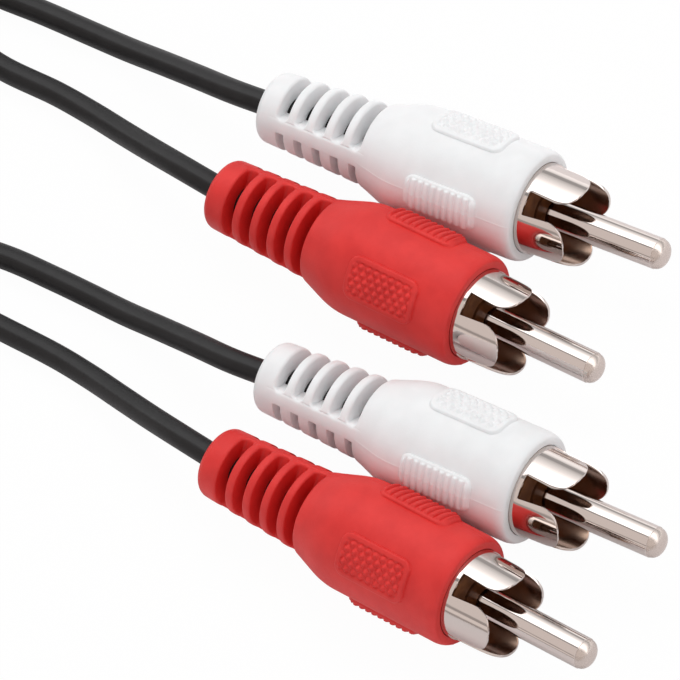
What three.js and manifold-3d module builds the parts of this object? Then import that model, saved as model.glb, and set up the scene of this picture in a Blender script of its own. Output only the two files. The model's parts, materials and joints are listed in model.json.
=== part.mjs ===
// Stereo audio cable: a twin cord with a red and a white moulded phono plug on each end.
// Millimetres, +Z up. The plugs lie on the surface z = 0 and point along +X.
// The origin is at the middle of the four plugs' footprint.
// Inside a plug, x = 0 is the front face of its moulded body and +x points to the tip of its pin.

import * as THREE from 'three';
import { mergeVertices } from 'three/addons/utils/BufferGeometryUtils.js';
import Module from 'manifold-3d';

const wasm = await Module();
wasm.setup();

// Clearances
const CLEAR = 0.3; // between pieces that are moulded round each other or seated
const WIRE_CLEAR = 0.2; // between the layers of the thin lead inside a plug

// Cutting and joining
const OVERRUN = 1; // how far a cutting shape runs past the face that it cuts
const WELD = 1e-4; // corners closer than this are one corner

// Facets round a turned piece
const BODY_FACETS = 20;
const PIN_FACETS = 16;
const WIRE_FACETS = 8;

// Centre pin
const PIN_DIAMETER = 3.2;
const PIN_REACH = 14.8;
const PIN_NOSE = 1.1;
const PIN_TIP_FLAT = 1.5;
const PIN_COLLAR_DIAMETER = 4.6;
const PIN_COLLAR_LENGTH = 0.7;
const CUP_DIAMETER = 2.6;
const CUP_LENGTH = 3.8;
const CUP_DEPTH = 2.6;

// Ground shell: slotted collar, sleeve inside the body and solder tab
const COLLAR_DIAMETER = 9.3;
const COLLAR_TIP_DIAMETER = 8.9;
const COLLAR_WALL = 0.35;
const COLLAR_REACH = 5.5;
const COLLAR_RING = 0.6;
const COLLAR_SLOTS = 4;
const COLLAR_SLOT_BASE_WIDTH = 2.45;
const COLLAR_SLOT_WIDTH = 2.05; // where the petals' rounded ends start
const PETAL_STRAIGHT = 2.6;
const PETAL_FULLNESS = 2.3; // 2 makes a petal's end an ellipse, and more makes it squarer
const PETAL_TIP_SHARE = 0.97;
const PETAL_STEPS = 5;
const SLEEVE_DEPTH = 8;
const SLEEVE_MOUTH_DIAMETER = 6.4;
const TAB_LENGTH = 5;
const TAB_WIDTH = 2.4;

// Insulator
const INSULATOR_FRONT = 0.6;

// Moulded body and strain relief
const BODY_DIAMETER = 11.54;
const BODY_LENGTH = 14.35;
const FRONT_FACE_DIAMETER = 10.6;
const FRONT_ROUND = 1.1;
const CONE_LENGTH = 4.35;
const RELIEF_FRONT_DIAMETER = 8.5;
const RELIEF_REAR_DIAMETER = 7.3;
const RELIEF_LENGTH = 12.3;
const REAR_ROUND = 0.9;
const ROUND_STEPS = 3;
const SLOT_COUNT = 5;
const SLOT_PITCH = 2.2;
const SLOT_WIDTH = 1.15;
const SLOT_SETBACK = 0.3;
const WEB_THICKNESS = 1;
const INNER_MOULD_DIAMETER = 8;
const INNER_MOULD_LENGTH = 5.9;
const BORE_TAPER = 3;
const JACKET_IN_TAPER = 1;

// Grip pads: two ribbed and two knurled, turn about
const PAD_LENGTH = 8.2;
const RIBBED_PAD_WIDTH = 3.7;
const KNURLED_PAD_WIDTH = 4.5;
const PAD_SETBACK = 3.8;
const PAD_CORNER = 0.9;
const SMALLEST_CORNER = 0.1;
const CORNER_STEPS = 2;
const RIB_COUNT = 11;
const RIB_HEIGHT = 0.6;
const RIB_FLOOR = 0.15;
const KNURL_HEIGHT = 0.35;
const KNURL_FLOOR = 0.1;
const KNURL_BORDER = 0.5;

// Lead and twin cord
const LEAD_DIAMETER = 2.6;
const CORE_DIAMETER = 1.4;
const CONDUCTOR_DIAMETER = 0.5;
const PIGTAIL_DIAMETER = 0.6;
const CORE_BARE = 0.6;
const TWIN_WIDTH = 2 * LEAD_DIAMETER;

// Coil of the length that is put away: layers of the flat cord, wound out, in, out and in
const COIL_CENTRE = new THREE.Vector2(-120, 3);
const COIL_MEAN_RADIUS = 30;
const COIL_SPREAD = 4.1;
const COIL_LAYERS = 4;
const COIL_LAYER_PITCH = 2.7;
const COIL_BASE = 0.8;
const COIL_FACETS = 40;

// Wire tie round the coil
const TIE_WIDTH = 3;
const TIE_THICKNESS = 0.5;
const TIE_TAIL_LENGTH = 9;
const TIE_TAIL_DIAMETER = 1.4;

// Plugs: they lie in rows, end B's red one nearest, then its white one, end A's red one and its white one.
// Each room is between two bodies at their front faces, and each stagger is how far a front face lies
// ahead of the one of end A's white plug, which is the rearmost.
const ROOM_IN_END_B = 0.88;
const ROOM_BETWEEN_ENDS = 3;
const ROOM_IN_END_A = 1.22;
const STAGGER_B_RED = 17.53;
const STAGGER_B_WHITE = 17.21;
const STAGGER_A_RED = 0.92;

// The direction that each plug points in, and the turn of its body and of its collar about its own
// axis, in degrees
const PLUGS = [
  { name: 'end_b_red', colour: 'red', yaw: -3.08, bodyTurn: 46.7, collarTurn: 72 },
  { name: 'end_b_white', colour: 'white', yaw: 0.73, bodyTurn: 123, collarTurn: 64.6 },
  { name: 'end_a_red', colour: 'red', yaw: -1.36, bodyTurn: 46.7, collarTurn: 72 },
  { name: 'end_a_white', colour: 'white', yaw: 2.66, bodyTurn: 123, collarTurn: 64.6 },
];

// Routes of the four leads behind their plugs, down to the surface and on to where the twin cord splits
const LEAD_ROUTES = {
  end_a_red: [
    [-35.5, 8.43, 5.7], [-40.5, 9.39, 4.5], [-45, 10.42, 3.1], [-50, 11.52, 1.8], [-55, 12.15, 1.35],
    [-62.4, 12.4, 1.3], [-68, 13.6, 1.3], [-73, 15.6, 1.3], [-77.6, 17.9, 1.3],
  ],
  end_a_white: [
    [-36, 18.2, 5.7], [-41, 18.62, 4.5], [-46, 19.1, 3.1], [-51, 19.49, 1.8], [-56, 19.65, 1.35],
    [-62, 19.64, 1.3], [-67.3, 19.45, 1.3], [-72, 19.6, 1.3], [-76.4, 20.6, 1.3],
  ],
  end_b_red: [
    [-18.4, -17.58, 5.7], [-23.3, -16.55, 4.5], [-28, -15.4, 3.1], [-33, -14.22, 1.8], [-37.8, -13.53, 1.35],
    [-44.8, -13.2, 1.3], [-52, -12.9, 1.3], [-58, -12.4, 1.3], [-63.6, -12.2, 1.3],
  ],
  end_b_white: [
    [-18.9, -8.07, 5.7], [-23.9, -7.56, 4.5], [-28.9, -7, 3.1], [-34, -6.52, 1.8], [-38.5, -6.21, 1.35],
    [-43, -6.09, 1.3], [-49.3, -6.16, 1.3], [-57, -7.3, 1.3], [-64.4, -9.3, 1.3],
  ],
};

// Routes of the twin cord between its splits and its coil
const TWIN_ROUTES = {
  trunk_run_a: [[-77.4, 19.3, 1.3], [-81.2, 20.6, 1.6], [-85.8, 22.7, 2.1]],
  trunk_run_b: [
    [-64.4, -10.8, 1.3], [-70, -12.2, 2.2], [-75.5, -13.6, 4.5], [-80.5, -14.9, 7.5], [-85.9, -16.6, 10.2],
  ],
};

// Places along a plug's axis, worked out from the sizes above
const coneStart = -BODY_LENGTH;
const reliefStart = coneStart - CONE_LENGTH;
const rearFace = reliefStart - RELIEF_LENGTH;
const sleeveEnd = -SLEEVE_DEPTH;
const pinCollarFront = sleeveEnd + COLLAR_WALL;
const pinCollarRear = pinCollarFront - PIN_COLLAR_LENGTH;
const mouldFront = pinCollarRear - CLEAR;
const mouldRear = mouldFront - INNER_MOULD_LENGTH;
const pocketRear = mouldRear - CLEAR;
const boreFront = pocketRear - BORE_TAPER;
const cupRear = pinCollarRear - CUP_LENGTH;
const cupFloor = cupRear + CUP_DEPTH;
const leadEndFront = boreFront + JACKET_IN_TAPER;
const coreFront = cupRear - CORE_BARE;
const conductorFront = cupFloor - WIRE_CLEAR;
const tabRear = sleeveEnd - TAB_LENGTH;

// Places of the plugs' front faces, round the middle of their footprint
const rearmostX = (-STAGGER_B_RED - PIN_REACH - rearFace) / 2;
const nearestY = -(3 * BODY_DIAMETER + ROOM_IN_END_B + ROOM_BETWEEN_ENDS + ROOM_IN_END_A) / 2;
const whiteBY = nearestY + BODY_DIAMETER + ROOM_IN_END_B;
const redAY = whiteBY + BODY_DIAMETER + ROOM_BETWEEN_ENDS;
const whiteAY = redAY + BODY_DIAMETER + ROOM_IN_END_A;
const PLACES = {
  end_b_red: [rearmostX + STAGGER_B_RED, nearestY],
  end_b_white: [rearmostX + STAGGER_B_WHITE, whiteBY],
  end_a_red: [rearmostX + STAGGER_A_RED, redAY],
  end_a_white: [rearmostX, whiteAY],
};

// Radii inside a plug, worked out from the sizes above
const pinRadius = PIN_DIAMETER / 2;
const collarRadius = COLLAR_DIAMETER / 2;
const bodyRadius = BODY_DIAMETER / 2;
const leadRadius = LEAD_DIAMETER / 2;
const coreRadius = CORE_DIAMETER / 2;
const conductorRadius = CONDUCTOR_DIAMETER / 2;
const pigtailRadius = PIGTAIL_DIAMETER / 2;
const boreRadius = leadRadius + CLEAR;
const pocketRadius = INNER_MOULD_DIAMETER / 2 + CLEAR;
const mouthRadius = SLEEVE_MOUTH_DIAMETER / 2;
const tabInside = mouthRadius + COLLAR_WALL / 2;
const padCentre = -PAD_SETBACK - PAD_LENGTH / 2;
const OUTSIDE = BODY_DIAMETER;

const degrees = THREE.MathUtils.degToRad;

const FINISHES = {
  red: { color: 0xd63e36, roughness: 0.55, metalness: 0 },
  white: { color: 0xf0f0ee, roughness: 0.45, metalness: 0 },
  nickel: { color: 0xc9c5bf, roughness: 0.18, metalness: 1 },
  bush: { color: 0x3a2a20, roughness: 0.5, metalness: 0 },
  mould: { color: 0xe6e2d6, roughness: 0.6, metalness: 0 },
  jacket: { color: 0x232121, roughness: 0.5, metalness: 0 },
  core: { color: 0xded8c8, roughness: 0.6, metalness: 0 },
  copper: { color: 0xb87048, roughness: 0.35, metalness: 1 },
  tie: { color: 0x1c1b1b, roughness: 0.6, metalness: 0 },
};

function named(name, geometry, finish) {
  const mesh = new THREE.Mesh(geometry, new THREE.MeshStandardMaterial(FINISHES[finish]));
  mesh.name = name;
  return mesh;
}

// A piece turned about the X axis. The profile is a list of [x, radius], and it runs from the
// rear forward on the outside; a hollow piece's profile comes back on the inside and closes.
function turned(profile, facets) {
  const points = profile.map(([x, radius]) => new THREE.Vector2(radius, x));
  const geometry = new THREE.LatheGeometry(points, facets);
  geometry.rotateZ(-Math.PI / 2);
  return geometry;
}

function block(xs, ys, zs) {
  const geometry = new THREE.BoxGeometry(xs[1] - xs[0], ys[1] - ys[0], zs[1] - zs[0]);
  geometry.translate((xs[0] + xs[1]) / 2, (ys[0] + ys[1]) / 2, (zs[0] + zs[1]) / 2);
  return geometry;
}

function toSolid(geometry) {
  const bare = geometry.clone();
  bare.deleteAttribute('normal');
  bare.deleteAttribute('uv');
  const merged = mergeVertices(bare, WELD);
  const corners = merged.index.array;
  const kept = [];
  for (let i = 0; i < corners.length; i += 3) {
    const [a, b, c] = [corners[i], corners[i + 1], corners[i + 2]];
    if (a !== b && b !== c && c !== a) kept.push(a, b, c);
  }
  const mesh = new wasm.Mesh({
    numProp: 3,
    vertProperties: new Float32Array(merged.attributes.position.array),
    triVerts: new Uint32Array(kept),
  });
  return new wasm.Manifold(mesh);
}

function fromSolid(solid) {
  const mesh = solid.getMesh();
  const geometry = new THREE.BufferGeometry();
  geometry.setAttribute('position', new THREE.BufferAttribute(new Float32Array(mesh.vertProperties), 3));
  geometry.setIndex(new THREE.BufferAttribute(new Uint32Array(mesh.triVerts), 1));
  geometry.computeVertexNormals();
  return geometry;
}

// A quarter round from [x0, r0] to [x1, r1], starting square to the axis or along it
function quarterRound([x0, r0], [x1, r1], startsSquare) {
  const points = [];
  for (let step = 1; step < ROUND_STEPS; step += 1) {
    const angle = (Math.PI / 2) * (step / ROUND_STEPS);
    const slow = 1 - Math.cos(angle);
    const fast = Math.sin(angle);
    const [alongX, alongR] = startsSquare ? [slow, fast] : [fast, slow];
    points.push([x0 + (x1 - x0) * alongX, r0 + (r1 - r0) * alongR]);
  }
  return points;
}

// Rounded rectangle on the body's side, as a prism that points away from the axis along +Z
function padPrism(width, inset) {
  const halfLength = PAD_LENGTH / 2 - inset;
  const halfWidth = width / 2 - inset;
  const corner = Math.max(PAD_CORNER - inset, SMALLEST_CORNER);
  const shape = new THREE.Shape();
  const quarter = Math.PI / 2;
  const centres = [[1, 1], [-1, 1], [-1, -1], [1, -1]];
  centres.forEach(([sx, sy], k) => {
    const cx = padCentre + sx * (halfLength - corner);
    const cy = sy * (halfWidth - corner);
    for (let step = 0; step <= CORNER_STEPS; step += 1) {
      const angle = quarter * (k + step / CORNER_STEPS);
      const [px, py] = [cx + corner * Math.cos(angle), cy + corner * Math.sin(angle)];
      if (k === 0 && step === 0) shape.moveTo(px, py);
      else shape.lineTo(px, py);
    }
  });
  const geometry = new THREE.ExtrudeGeometry(shape, { depth: OUTSIDE, bevelEnabled: false });
  geometry.translate(0, 0, bodyRadius / 2);
  return geometry;
}

function ribbedPad() {
  const pitch = PAD_LENGTH / RIB_COUNT;
  const rear = -PAD_SETBACK - PAD_LENGTH;
  const profile = [[rear, 0], [rear, bodyRadius + RIB_FLOOR]];
  for (let rib = 0; rib < RIB_COUNT; rib += 1) {
    profile.push([rear + (rib + 0.5) * pitch, bodyRadius + RIB_HEIGHT]);
    profile.push([rear + (rib + 1) * pitch, bodyRadius + RIB_FLOOR]);
  }
  profile.push([-PAD_SETBACK, 0]);
  return toSolid(turned(profile, BODY_FACETS)).intersect(toSolid(padPrism(RIBBED_PAD_WIDTH, 0)));
}

function roundBar(rear, front, radius) {
  return toSolid(turned([[rear, 0], [rear, radius], [front, radius], [front, 0]], BODY_FACETS));
}

function knurledPad() {
  const rear = -PAD_SETBACK - PAD_LENGTH;
  const plate = toSolid(padPrism(KNURLED_PAD_WIDTH, 0));
  const raised = roundBar(rear, -PAD_SETBACK, bodyRadius + KNURL_HEIGHT).intersect(plate);
  const above = toSolid(padPrism(KNURLED_PAD_WIDTH, KNURL_BORDER)).subtract(
    roundBar(rear - PAD_SETBACK, 0, bodyRadius + KNURL_FLOOR),
  );
  return raised.subtract(above);
}

function overmouldOutside() {
  const frontRadius = FRONT_FACE_DIAMETER / 2;
  const reliefFront = RELIEF_FRONT_DIAMETER / 2;
  const reliefRear = RELIEF_REAR_DIAMETER / 2;
  const rearRoundEnd = [rearFace + REAR_ROUND, reliefRear];
  const frontRoundStart = [-FRONT_ROUND, bodyRadius];
  return turned(
    [
      [rearFace, 0],
      [rearFace, reliefRear - REAR_ROUND],
      ...quarterRound([rearFace, reliefRear - REAR_ROUND], rearRoundEnd, true),
      rearRoundEnd,
      [reliefStart, reliefFront],
      [coneStart, bodyRadius],
      frontRoundStart,
      ...quarterRound(frontRoundStart, [0, frontRadius], false),
      [0, frontRadius],
      [0, 0],
    ],
    BODY_FACETS,
  );
}

function overmouldCavity() {
  const sleeveRadius = collarRadius + CLEAR;
  return turned(
    [
      [rearFace - OVERRUN, 0],
      [rearFace - OVERRUN, boreRadius],
      [boreFront, boreRadius],
      [pocketRear, pocketRadius],
      [sleeveEnd - CLEAR, pocketRadius],
      [sleeveEnd - CLEAR, sleeveRadius],
      [OVERRUN, sleeveRadius],
      [OVERRUN, 0],
    ],
    BODY_FACETS,
  );
}

// The strain relief's slots are cut from both sides and leave a web in the parting plane
function reliefSlots() {
  const cuts = [];
  for (let slot = 0; slot < SLOT_COUNT; slot += 1) {
    const front = reliefStart + SLOT_SETBACK - slot * SLOT_PITCH;
    for (const side of [-1, 1]) {
      const ys = [side * (WEB_THICKNESS / 2), side * OUTSIDE].sort((a, b) => a - b);
      cuts.push(toSolid(block([front - SLOT_WIDTH, front], ys, [-OUTSIDE, OUTSIDE])));
    }
  }
  return cuts;
}

function overmould() {
  let solid = toSolid(overmouldOutside());
  const pads = [
    ribbedPad(),
    ribbedPad().rotate([180, 0, 0]),
    knurledPad().rotate([90, 0, 0]),
    knurledPad().rotate([-90, 0, 0]),
  ];
  for (const pad of pads) solid = solid.add(pad);
  solid = solid.subtract(toSolid(overmouldCavity()));
  for (const cut of reliefSlots()) solid = solid.subtract(cut);
  return fromSolid(solid);
}

// A slot of the collar: straight sides, then the rounded ends of the petals on both sides of it
function collarSlot() {
  const tipRadius = COLLAR_TIP_DIAMETER / 2;
  const straightEnd = COLLAR_RING + PETAL_STRAIGHT;
  const quarterTurn = Math.PI / COLLAR_SLOTS;
  const petalHalfAngle = quarterTurn - Math.asin(COLLAR_SLOT_WIDTH / 2 / tipRadius);
  const side = [[COLLAR_RING, COLLAR_SLOT_BASE_WIDTH / 2]];
  for (let step = 0; step <= PETAL_STEPS; step += 1) {
    const share = Math.sin((Math.PI / 2) * (step / PETAL_STEPS)) * PETAL_TIP_SHARE;
    const narrowing = (1 - share ** PETAL_FULLNESS) ** (1 / PETAL_FULLNESS);
    const halfAngle = quarterTurn - petalHalfAngle * narrowing;
    const x = straightEnd + ((COLLAR_REACH - straightEnd) * share) / PETAL_TIP_SHARE;
    side.push([x, tipRadius * Math.sin(halfAngle)]);
  }
  const [, lastWidth] = side[side.length - 1];
  side.push([COLLAR_REACH + OVERRUN, lastWidth]);
  const outline = [...side, ...side.map(([x, w]) => [x, -w]).reverse()];
  const shape = new THREE.Shape(outline.map(([x, w]) => new THREE.Vector2(x, w)));
  const geometry = new THREE.ExtrudeGeometry(shape, { depth: OUTSIDE, bevelEnabled: false });
  geometry.translate(0, 0, pinRadius);
  return toSolid(geometry);
}

function groundShell() {
  const tipRadius = COLLAR_TIP_DIAMETER / 2;
  const profile = [
    [sleeveEnd, mouthRadius],
    [sleeveEnd, collarRadius],
    [COLLAR_RING, collarRadius],
    [COLLAR_REACH, tipRadius],
    [COLLAR_REACH, tipRadius - COLLAR_WALL],
    [COLLAR_RING, collarRadius - COLLAR_WALL],
    [sleeveEnd + COLLAR_WALL, collarRadius - COLLAR_WALL],
    [sleeveEnd + COLLAR_WALL, mouthRadius],
    [sleeveEnd, mouthRadius],
  ];
  let solid = toSolid(turned(profile, BODY_FACETS));
  const slot = collarSlot();
  for (let k = 0; k < COLLAR_SLOTS; k += 1) {
    solid = solid.subtract(slot.rotate([(360 / COLLAR_SLOTS) * k, 0, 0]));
  }
  const tab = block(
    [tabRear, sleeveEnd + COLLAR_WALL / 2],
    [tabInside, tabInside + COLLAR_WALL],
    [-TAB_WIDTH / 2, TAB_WIDTH / 2],
  );
  return fromSolid(solid.add(toSolid(tab)));
}

function insulator() {
  const outside = collarRadius - COLLAR_WALL - CLEAR;
  const rear = sleeveEnd + COLLAR_WALL + CLEAR;
  const bore = pinRadius + CLEAR;
  const profile = [
    [rear, bore],
    [rear, outside],
    [INSULATOR_FRONT, outside],
    [INSULATOR_FRONT, bore],
    [rear, bore],
  ];
  return turned(profile, PIN_FACETS);
}

function centrePin() {
  const noseStart = [PIN_REACH - PIN_NOSE, pinRadius];
  const tipFlat = [PIN_REACH, PIN_TIP_FLAT / 2];
  const cupRadius = CUP_DIAMETER / 2;
  const cupBore = conductorRadius + WIRE_CLEAR;
  const profile = [
    [cupFloor, 0],
    [cupFloor, cupBore],
    [cupRear, cupBore],
    [cupRear, cupRadius],
    [pinCollarRear, cupRadius],
    [pinCollarRear, PIN_COLLAR_DIAMETER / 2],
    [pinCollarFront, PIN_COLLAR_DIAMETER / 2],
    [pinCollarFront, pinRadius],
    noseStart,
    ...quarterRound(noseStart, tipFlat, false),
    tipFlat,
    [PIN_REACH, 0],
  ];
  return turned(profile, PIN_FACETS);
}

// The inner mould is open on one side, where the tab and the shield's pigtail lie
function innerMould() {
  const bore = CUP_DIAMETER / 2 + CLEAR;
  const outside = INNER_MOULD_DIAMETER / 2;
  const ring = turned(
    [[mouldRear, bore], [mouldRear, outside], [mouldFront, outside], [mouldFront, bore], [mouldRear, bore]],
    PIN_FACETS,
  );
  const groove = block(
    [mouldRear - OVERRUN, mouldFront + OVERRUN],
    [0, OUTSIDE],
    [-TAB_WIDTH / 2 - CLEAR, TAB_WIDTH / 2 + CLEAR],
  );
  return fromSolid(toSolid(ring).subtract(toSolid(groove)));
}

function wireLayer(rear, front, outside, inside) {
  return turned(
    [[rear, inside], [rear, outside], [front, outside], [front, inside], [rear, inside]],
    WIRE_FACETS,
  );
}

function conductor() {
  return turned(
    [[rearFace, 0], [rearFace, conductorRadius], [conductorFront, conductorRadius], [conductorFront, 0]],
    WIRE_FACETS,
  );
}

// A cord's section: round, or flat with round edges. Its own Y axis is the wide way.
function cordSection(width, height, facets) {
  const shape = new THREE.Shape();
  const radius = height / 2;
  const offset = (width - height) / 2;
  for (let k = 0; k < facets; k += 1) {
    const angle = (2 * Math.PI * (k + 0.5)) / facets;
    const shift = Math.sign(Math.sin(angle)) * offset;
    const [x, y] = [radius * Math.cos(angle), radius * Math.sin(angle) + shift];
    if (k === 0) shape.moveTo(x, y);
    else shape.lineTo(x, y);
  }
  return shape;
}

function tube(points, section, stepLength) {
  const path = new THREE.CatmullRomCurve3(points, false, 'centripetal');
  const steps = Math.max(2, Math.round(path.getLength() / stepLength));
  return new THREE.ExtrudeGeometry(section, { steps, extrudePath: path, bevelEnabled: false });
}

// The shield's strands, twisted together, from the end of the jacket to the inside of the tab
function pigtail() {
  const start = coreRadius + CLEAR + pigtailRadius;
  const onTab = tabInside - CLEAR - pigtailRadius;
  const points = [
    new THREE.Vector3(leadEndFront + CLEAR, start, 0),
    new THREE.Vector3(pocketRear, (start + onTab) / 2, 0),
    new THREE.Vector3(tabRear, onTab, 0),
    new THREE.Vector3(tabRear + TAB_LENGTH / 2, onTab, 0),
  ];
  return tube(points, cordSection(PIGTAIL_DIAMETER, PIGTAIL_DIAMETER, WIRE_FACETS), 2 * PIGTAIL_DIAMETER);
}

function turnAboutAxis(mesh, angle) {
  mesh.rotation.x = -degrees(angle);
  return mesh;
}

function lowestPoint(mesh) {
  mesh.updateMatrixWorld(true);
  return new THREE.Box3().setFromObject(mesh, true).min.z;
}

function plug({ name, colour, yaw, bodyTurn, collarTurn }) {
  const group = new THREE.Group();
  const body = turnAboutAxis(named(`${name}_overmould`, overmould(), colour), bodyTurn);
  group.add(body);
  const inside = [
    ['ground_shell', groundShell(), 'nickel'],
    ['insulator', insulator(), 'bush'],
    ['centre_pin', centrePin(), 'nickel'],
    ['inner_mould', innerMould(), 'mould'],
    ['lead_end', wireLayer(rearFace, leadEndFront, leadRadius, coreRadius + WIRE_CLEAR), 'jacket'],
    ['core_insulation', wireLayer(rearFace, coreFront, coreRadius, conductorRadius + WIRE_CLEAR), 'core'],
    ['core_conductor', conductor(), 'copper'],
    ['shield_pigtail', pigtail(), 'copper'],
  ];
  for (const [piece, geometry, finish] of inside) {
    group.add(turnAboutAxis(named(`${name}_${piece}`, geometry, finish), collarTurn));
  }
  const axisHeight = -lowestPoint(body);
  group.rotation.z = degrees(yaw);
  group.position.set(...PLACES[name], axisHeight);
  return group;
}

// A lead starts behind the plug's rear face, on the plug's axis
function lead(plugGroup, name) {
  plugGroup.updateMatrixWorld(true);
  const exit = plugGroup.localToWorld(new THREE.Vector3(rearFace - CLEAR, 0, 0));
  const route = LEAD_ROUTES[name].map((point) => new THREE.Vector3(...point));
  const section = cordSection(LEAD_DIAMETER, LEAD_DIAMETER, WIRE_FACETS);
  return named(`lead_${name.slice(4)}`, tube([exit, ...route], section, 2 * LEAD_DIAMETER), 'jacket');
}

function twinRun(name) {
  const route = TWIN_ROUTES[name].map((point) => new THREE.Vector3(...point));
  const section = cordSection(TWIN_WIDTH, LEAD_DIAMETER, WIRE_FACETS);
  return named(name, tube(route, section, TWIN_WIDTH), 'jacket');
}

const coilHeight = LEAD_DIAMETER + (COIL_LAYERS - 1) * COIL_LAYER_PITCH;
const coilInside = COIL_MEAN_RADIUS - COIL_SPREAD - TWIN_WIDTH / 2;
const coilOutside = COIL_MEAN_RADIUS + COIL_SPREAD + TWIN_WIDTH / 2;

function coil() {
  const profile = [
    [coilInside, COIL_BASE],
    [coilOutside, COIL_BASE],
    [coilOutside, COIL_BASE + coilHeight],
    [coilInside, COIL_BASE + coilHeight],
    [coilInside, COIL_BASE],
  ];
  const geometry = new THREE.LatheGeometry(profile.map(([r, z]) => new THREE.Vector2(r, z)), COIL_FACETS);
  geometry.rotateX(Math.PI / 2);
  geometry.translate(COIL_CENTRE.x, COIL_CENTRE.y, 0);
  return named('trunk_coil', geometry, 'jacket');
}

// A wire tie round the coil on its far side, with its ends twisted together on top
function tie() {
  const [far, near] = [COIL_CENTRE.x - coilOutside - CLEAR, COIL_CENTRE.x - coilInside + CLEAR];
  const [low, high] = [COIL_BASE - CLEAR, COIL_BASE + coilHeight + CLEAR];
  const ys = [COIL_CENTRE.y - TIE_WIDTH / 2, COIL_CENTRE.y + TIE_WIDTH / 2];
  const outer = block(
    [far - TIE_THICKNESS, near + TIE_THICKNESS],
    ys,
    [low - TIE_THICKNESS, high + TIE_THICKNESS],
  );
  const inner = block([far, near], [ys[0] - OVERRUN, ys[1] + OVERRUN], [low, high]);
  const tail = new THREE.CylinderGeometry(
    TIE_TAIL_DIAMETER / 2, TIE_TAIL_DIAMETER / 2, TIE_TAIL_LENGTH, WIRE_FACETS,
  );
  tail.translate((far + near) / 2, ys[1] + TIE_TAIL_LENGTH / 2 - TIE_WIDTH, high + TIE_TAIL_DIAMETER / 2);
  return named('coil_tie', fromSolid(toSolid(outer).subtract(toSolid(inner)).add(toSolid(tail))), 'tie');
}

const cable = new THREE.Group();
for (const place of PLUGS) {
  const group = plug(place);
  cable.add(group);
  cable.add(lead(group, place.name));
}
for (const name of Object.keys(TWIN_ROUTES)) cable.add(twinRun(name));
cable.add(coil());
cable.add(tie());

export default cable;
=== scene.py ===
"""Stereo audio cable: the finished look of its four moulded phono plugs, its leads and its coiled twin cord.

Metres, +Z up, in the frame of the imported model. The sizes of a plug are in millimetres, in the plug's
own frame: x = 0 is the front face of its moulded body and +x points to the tip of its pin.
"""

import json
import math

import bmesh
import bpy
import numpy as np
from mathutils import Matrix, Vector


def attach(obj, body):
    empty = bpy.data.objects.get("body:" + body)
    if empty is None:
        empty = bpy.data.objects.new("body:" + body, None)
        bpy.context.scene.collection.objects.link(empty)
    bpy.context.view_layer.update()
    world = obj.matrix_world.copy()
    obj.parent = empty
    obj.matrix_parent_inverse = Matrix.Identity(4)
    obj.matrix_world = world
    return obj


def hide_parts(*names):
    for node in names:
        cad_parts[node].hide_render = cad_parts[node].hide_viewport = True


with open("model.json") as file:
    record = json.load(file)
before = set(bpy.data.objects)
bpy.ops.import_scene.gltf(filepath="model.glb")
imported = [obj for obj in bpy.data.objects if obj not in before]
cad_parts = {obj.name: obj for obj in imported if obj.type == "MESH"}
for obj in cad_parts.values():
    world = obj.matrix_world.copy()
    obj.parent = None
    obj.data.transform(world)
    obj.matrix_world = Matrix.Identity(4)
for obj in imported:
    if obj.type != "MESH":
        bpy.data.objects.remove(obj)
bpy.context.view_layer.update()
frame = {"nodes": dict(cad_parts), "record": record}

ROOT = "root"
MM = 0.001

# Camera: the direction from the plugs to it, its roll, and how many pixels one millimetre takes at the target
CAMERA_TARGET = Vector((-0.010365, -0.00152, 0.006))
CAMERA_AZIMUTH = 52.4
CAMERA_ELEVATION = 55.6
CAMERA_ROLL = -22.8
CAMERA_DISTANCE = 1.2
PIXELS_PER_MM = 10.284
FRAME_PIXELS = 680
SENSOR_WIDTH = 36.0
CAMERA_CLIP = (0.01, 20)

# Mesh: how near points are joined, and from what angle in degrees an edge is sharp
WELD = 1e-7
COLLAR_WELD = 1e-6
SHARP_ANGLE = 50
TURNED_SHARP_ANGLE = 40
BODY_SHARP_ANGLE = 45

# Cords. Each lead starts LEAD_INSET millimetres inside its bore. A low ridge, placed and measured in radians,
# shows where it was torn from its twin.
LEAD_DIAMETER = 0.0026
LEAD_FACETS = 32
LEAD_INSET = 1.0
RIDGE_ANGLE = math.radians(68)
RIDGE_WIDTH = 0.16
RIDGE_HEIGHT = 0.00009
TWIN_WAIST = 0.00055
TWIN_LOBE_REACH = 140
TWIN_LOBE_POINTS = 11
LEAD_ROUTES = {
    "a_red": [
        (-0.0355, 0.00843, 0.0057), (-0.0405, 0.00939, 0.0045), (-0.0450, 0.01042, 0.0031),
        (-0.0500, 0.01152, 0.0018), (-0.0550, 0.01215, 0.00135), (-0.0624, 0.0124, 0.0013),
        (-0.0680, 0.0136, 0.0013), (-0.0730, 0.0156, 0.0013),
    ],
    "a_white": [
        (-0.0360, 0.0182, 0.0057), (-0.0410, 0.01862, 0.0045), (-0.0460, 0.0191, 0.0031),
        (-0.0510, 0.01949, 0.0018), (-0.0560, 0.01965, 0.00135), (-0.0620, 0.01964, 0.0013),
        (-0.0673, 0.01945, 0.0013), (-0.0720, 0.0196, 0.0013),
    ],
    "b_red": [
        (-0.0184, -0.01758, 0.0057), (-0.0233, -0.01655, 0.0045), (-0.0280, -0.0154, 0.0031),
        (-0.0330, -0.01422, 0.0018), (-0.0378, -0.01353, 0.00135), (-0.0448, -0.0132, 0.0013),
        (-0.0520, -0.0129, 0.0013), (-0.0580, -0.0124, 0.0013),
    ],
    "b_white": [
        (-0.0189, -0.00807, 0.0057), (-0.0239, -0.00756, 0.0045), (-0.0289, -0.0070, 0.0031),
        (-0.0340, -0.00652, 0.0018), (-0.0385, -0.00621, 0.00135), (-0.0430, -0.00609, 0.0013),
        (-0.0493, -0.00616, 0.0013), (-0.0570, -0.0073, 0.0013),
    ],
}
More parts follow.
